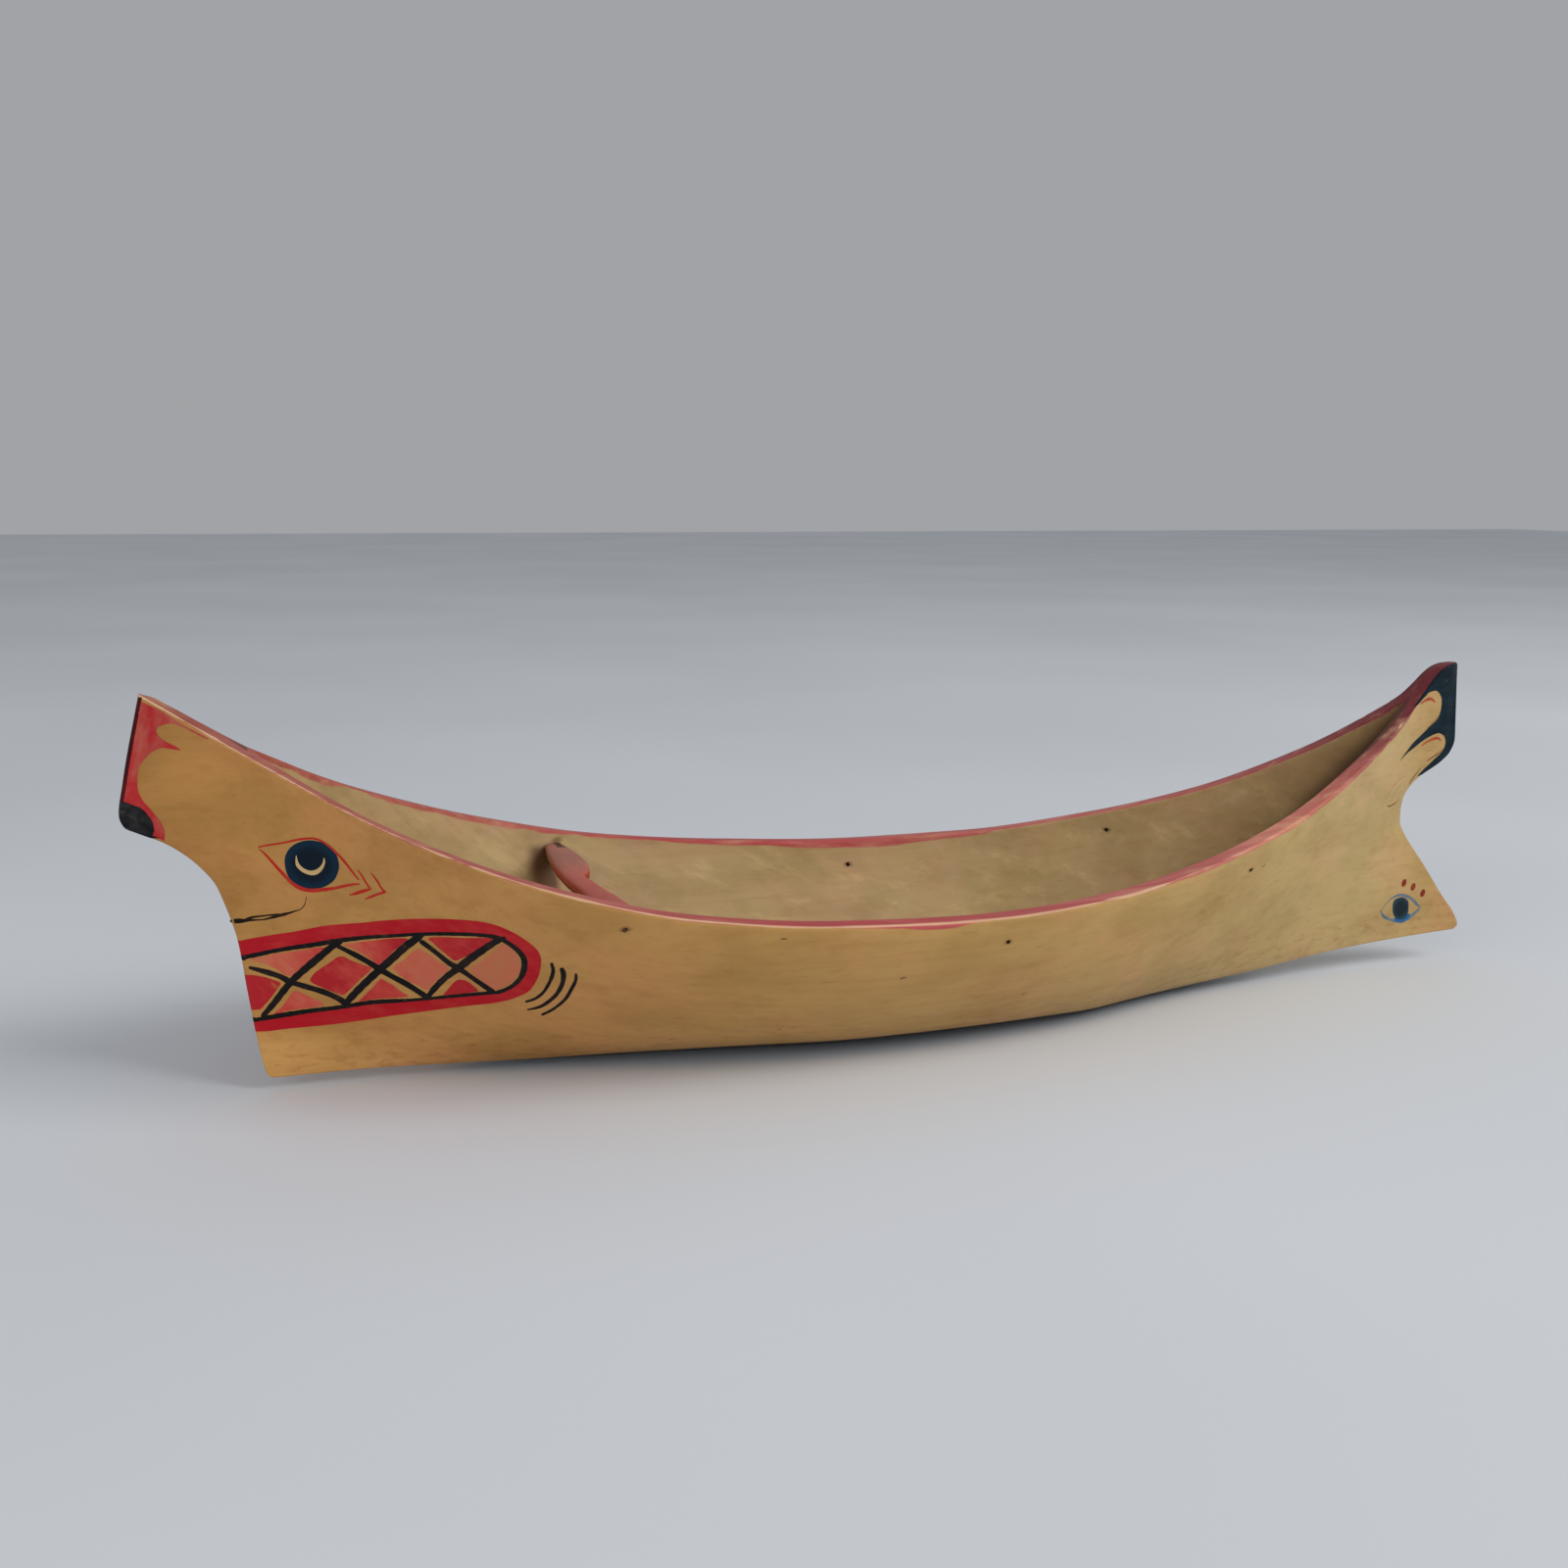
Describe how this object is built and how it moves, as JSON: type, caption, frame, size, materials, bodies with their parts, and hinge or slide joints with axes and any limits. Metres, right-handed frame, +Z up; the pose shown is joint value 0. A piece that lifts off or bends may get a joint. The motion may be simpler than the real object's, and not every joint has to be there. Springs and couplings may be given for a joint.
{
  "type": "model dugout canoe",
  "caption": "Small carved wooden model of a dugout canoe with a raised, overhanging prow, a notched stern, painted ornament and a thwart nailed across the hull.",
  "frame": {"origin": "under the middle of the length, on the flat strip of the bottom that it stands on", "axes": "+X along the canoe from bow to stern, +Y across it to the side away from the picture, +Z up"},
  "size_m": [0.448, 0.1208, 0.1129],
  "materials": {
    "bare wood": "oiled and handled, with painted ornament",
    "red painted wood": "thin worn matt paint",
    "dark iron": "dark and rusted"
  },
  "bodies": {
    "root": {"hull": "bare wood", "thwart": "red painted wood", "thwart_brad_far": "dark iron", "thwart_brad_near": "dark iron"}
  },
  "joints": []
}
